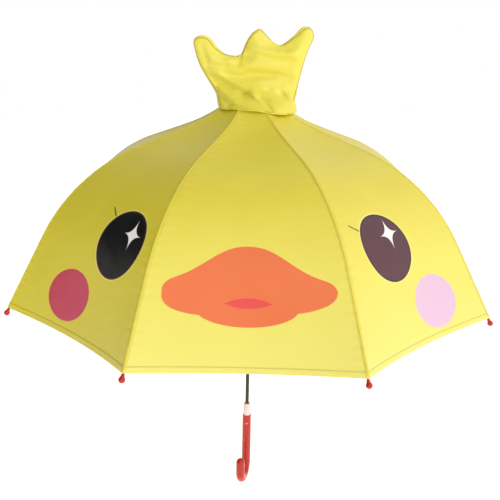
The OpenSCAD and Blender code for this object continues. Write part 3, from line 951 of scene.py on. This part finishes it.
def smooth_loop(points, per=5):
    """A rounder closed path through points."""
    p = np.asarray(points, float)
    made = []
    for k in range(len(p)):
        a, b, c, d = (p[(k + j) % len(p)] for j in (-1, 0, 1, 2))
        for u in np.linspace(0, 1, per, endpoint=False):
            bend = (2 * a - 5 * b + 4 * c - d) * u * u + (3 * b - a - 3 * c + d) * u**3
            made.append(0.5 * (2 * b + (c - a) * u + bend))
    return np.array(made)


crest_loop = smooth_loop(CREST_EDGE)


def inset_loop(distance):
    """The crest's outline, moved inwards."""
    tangent = np.roll(crest_loop, -1, 0) - np.roll(crest_loop, 1, 0)
    tangent /= np.linalg.norm(tangent, axis=1)[:, None]
    inward = np.stack([tangent[:, 1], -tangent[:, 0]], 1)
    return crest_loop + inward * distance


def dome_height(x, y):
    """The canopy's top under the crest, above the crown's zero."""
    r = np.hypot(x, y)
    return -r * math.tan(TOP_SLOPE) + TENT_RISE * np.exp(-((r / TENT_WIDTH) ** 2))


def coordinates(obj):
    co = np.zeros(len(obj.data.vertices) * 3)
    obj.data.vertices.foreach_get("co", co)
    return co.reshape(-1, 3)


def set_coordinates(obj, co):
    obj.data.vertices.foreach_set("co", np.asarray(co, np.float32).ravel())
    obj.data.update()


def apply_modifiers(obj):
    mesh = bpy.data.meshes.new_from_object(obj.evaluated_get(bpy.context.evaluated_depsgraph_get()))
    obj.modifiers.clear()
    obj.data = mesh


def pouch_half(x, z):
    """Half the pouch's cut depth: thin above, and spreading to a skirt that sits on the canopy."""
    deep = np.interp(z, SKIRT_LEVELS, SKIRT_DEPTHS)
    u = np.clip(np.abs(x - SKIRT_MIDDLE) / SKIRT_HALF, 0, 1)
    return np.hypot(POUCH_HALF, deep * (1 - u**SKIRT_POWER) ** (1 / SKIRT_POWER))


def crest_pouch():
    cut = inset_loop(CUT_INSET)
    count = len(cut)
    points = [(x * MM, y * MM, (z + CROWN) * MM) for y in (-POUCH_HALF, POUCH_HALF) for x, z in cut]
    faces = [tuple(range(count)), tuple(range(2 * count - 1, count - 1, -1))]
    faces += [(k, count + k, count + (k + 1) % count, (k + 1) % count) for k in range(count)]
    made = new_object("crest_pouch", points, faces)
    outward(made)
    remesh = made.modifiers.new("remesh", "REMESH")
    remesh.mode = "VOXEL"
    remesh.voxel_size = POUCH_VOXEL * MM
    apply_modifiers(made)
    rest = coordinates(made)
    rest[:, 1] *= pouch_half(rest[:, 0] / MM, rest[:, 2] / MM - CROWN) / POUCH_HALF
    set_coordinates(made, rest)
    pinned = made.vertex_groups.new(name="pinned")
    pinned.add([k for k, p in enumerate(rest) if p[2] < CROWN * MM], 1.0, "REPLACE")
    soft = made.modifiers.new("swell", "CLOTH")
    soft.settings.use_pressure = True
    soft.settings.uniform_pressure_force = POUCH_PRESSURE
    soft.settings.effector_weights.gravity = 0
    soft.settings.vertex_group_mass = "pinned"
    soft.settings.quality = 6
    for number in range(POUCH_FRAMES):
        scene.frame_set(number + 1)
    apply_modifiers(made)
    scene.frame_set(1)
    moved = coordinates(made) - rest
    far = np.linalg.norm(moved, axis=1)
    limit = POUCH_CAP * MM
    moved *= np.where(far > limit, limit / np.maximum(far, 1e-9), 1.0)[:, None]
    set_coordinates(made, rest + moved)
    divide = made.modifiers.new("divide", "SUBSURF")
    divide.levels = divide.render_levels = 1
    apply_modifiers(made)
    return made


def work_folds(obj):
    """Folds in the cloth, a groove beside each side seam, and a base that sits on the dome."""
    co = coordinates(obj) / MM
    co[:, 2] -= CROWN
    x, z = co[:, 0], co[:, 2]
    push = np.zeros(len(co))
    for (x0, z0), (x1, z1), height, width in CREST_FOLDS:
        dx, dz = x1 - x0, z1 - z0
        length = math.hypot(dx, dz)
        along = ((x - x0) * dx + (z - z0) * dz) / length
        off = ((z - z0) * dx - (x - x0) * dz) / length
        past = np.maximum(np.abs(along - length / 2) - length / 2, 0)
        push += FOLD_STRENGTH * height * np.exp(-((off / width) ** 2) - (past / (1.6 * width)) ** 2)
    to_edge = np.hypot(x[:, None] - crest_loop[None, :, 0], z[:, None] - crest_loop[None, :, 1])
    nearest = np.min(to_edge, axis=1)
    push *= np.clip((nearest - 2) / 8, 0, 1)
    push -= SEAM_GROOVE * np.exp(-(((nearest - SEAM_INSET) / GROOVE_HALF) ** 2)) * (np.abs(co[:, 1]) > 2)
    face = np.sign(co[:, 1]) * np.clip(np.abs(co[:, 1]) / 3, 0, 1)
    co[:, 1] += face * push * np.where(co[:, 1] > 0, BACK_SOFTER, 1.0)
    co[:, 2] = np.maximum(co[:, 2], dome_height(co[:, 0], co[:, 1]) + SKIRT_LIFT)
    co[:, 2] += CROWN
    set_coordinates(obj, co * MM)


pouch = crest_pouch()
work_folds(pouch)
pouch.data.materials.clear()
pouch.data.materials.append(crest_cloth)
pouch.data.shade_smooth()
pouch_faces = [tuple(p.vertices) for p in pouch.data.polygons]
tree = BVHTree.FromPolygons([v.co for v in pouch.data.vertices], pouch_faces)


def on_pouch(x, z, front):
    """A point on the pouch's front or back face."""
    start = Vector((x * MM, (-0.1 if front else 0.1), (z + CROWN) * MM))
    hit = tree.ray_cast(start, Vector((0, 1 if front else -1, 0)))[0]
    return None if hit is None else np.array(hit)


seam_parts = []
for front in (True, False):
    run = []
    for x, z in np.append(inset_loop(SEAM_INSET), [(0.0, -100.0)], axis=0):
        hit = on_pouch(x, z, front) if z > SEAM_FOOT else None
        if hit is not None and not (run and np.linalg.norm(hit - run[-1]) > SEAM_STEP * MM):
            run.append(hit)
            continue
        if len(run) > 3:
            seam_parts.append(tube(run, SEAM_RADIUS * MM, 6))
        run = [] if hit is None else [hit]
thread_faces = sum(len(f) for _, f in seam_parts)
angles = np.linspace(0, TURN, 97)[:-1]
base_x = BASE_MIDDLE + BASE_HALF_X * np.sign(np.cos(angles)) * np.abs(np.cos(angles)) ** BASE_POWER
base_y = BASE_HALF_Y * np.sign(np.sin(angles)) * np.abs(np.sin(angles)) ** BASE_POWER
base_z = dome_height(base_x, base_y) + 1.0
base_path = np.stack([base_x, base_y, base_z + CROWN], -1) * MM
seam_parts.append(tube(base_path, (BASE_CORD + 0.25 * np.sin(angles * 24)) * MM, 8, closed=True))
points, faces = merged(seam_parts)
crest_seams = new_object("crest_seams", points, faces)
outward(crest_seams)
crest_seams.data.materials.append(crest_thread)
crest_seams.data.materials.append(crest_cloth)
for polygon in crest_seams.data.polygons:
    polygon.material_index = int(polygon.index >= thread_faces)
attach(pouch, "frame")
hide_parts("crest")
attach(crest_seams, "frame")

# ---- Floor, light and air ----
FLOOR_RADIUS = 6.0
FLOOR_SIDES = 64
level = first_bounds[0].z - 0.0005
floor_rings = np.linspace(0.02, FLOOR_RADIUS, 24)
around = [TURN * k / FLOOR_SIDES for k in range(FLOOR_SIDES)]
points = [(r * math.cos(a), r * math.sin(a), level) for r in floor_rings for a in around]
faces = grid_faces(len(floor_rings), FLOOR_SIDES, wrap=True) + [tuple(range(FLOOR_SIDES))[::-1]]
floor = new_object("floor", points, faces)
outward(floor)
m = Finish("floor_paper")
m.set("Base Color", m.mix(m.noise(m.place(), 3.0), srgb(250, 250, 250), srgb(244, 244, 244)))
m.set("Roughness", 0.9)
m.set("Emission Color", (1.0, 1.0, 1.0, 1.0))
m.set("Emission Strength", 0.75)
floor.data.materials.append(m.material)


def area_light(name, place, aim, size, power, colour=(1, 1, 1)):
    data = bpy.data.lights.new(name, "AREA")
    data.shape = "DISK"
    data.size, data.energy, data.color = size, power, colour
    made = bpy.data.objects.new(name, data)
    scene.collection.objects.link(made)
    made.location = place
    made.rotation_mode = "QUATERNION"
    made.rotation_quaternion = (Vector(aim) - Vector(place)).to_track_quat("-Z", "Y")


middle = (0, 0, 0.38)
area_light("key", (1.7, -1.8, 2.0), middle, 2.2, 22.3, (1.0, 0.99, 0.97))
area_light("fill", (-0.9, -2.7, 1.2), middle, 1.5, 5.6)

scene.view_settings.view_transform = "Standard"
world = bpy.data.worlds.new("studio")
scene.world = world
world.use_nodes = True
background = world.node_tree.nodes["Background"]
background.inputs["Color"].default_value = (1, 1, 1, 1)
sky = world.node_tree
direction = sky.nodes.new("ShaderNodeSeparateXYZ")
sky.links.new(sky.nodes.new("ShaderNodeTexCoord").outputs["Generated"], direction.inputs[0])
sky_x, sky_y, sky_z = (Value(sky, o) for o in direction.outputs)
# white behind the object, darker high on the left, so that the cloth's gloss shows its shape
behind = (1.0 - sky_y.below(0.8, 0.1)) * sky_z.below(0.22, 0.1)
toward_left = sky_x * -0.9 + sky_y * 0.06 + sky_z * 0.4
dimmed = 0.05 + toward_left.below(0.55, 0.35) * 0.85
sky.links.new(behind.max(dimmed).socket, background.inputs["Strength"])
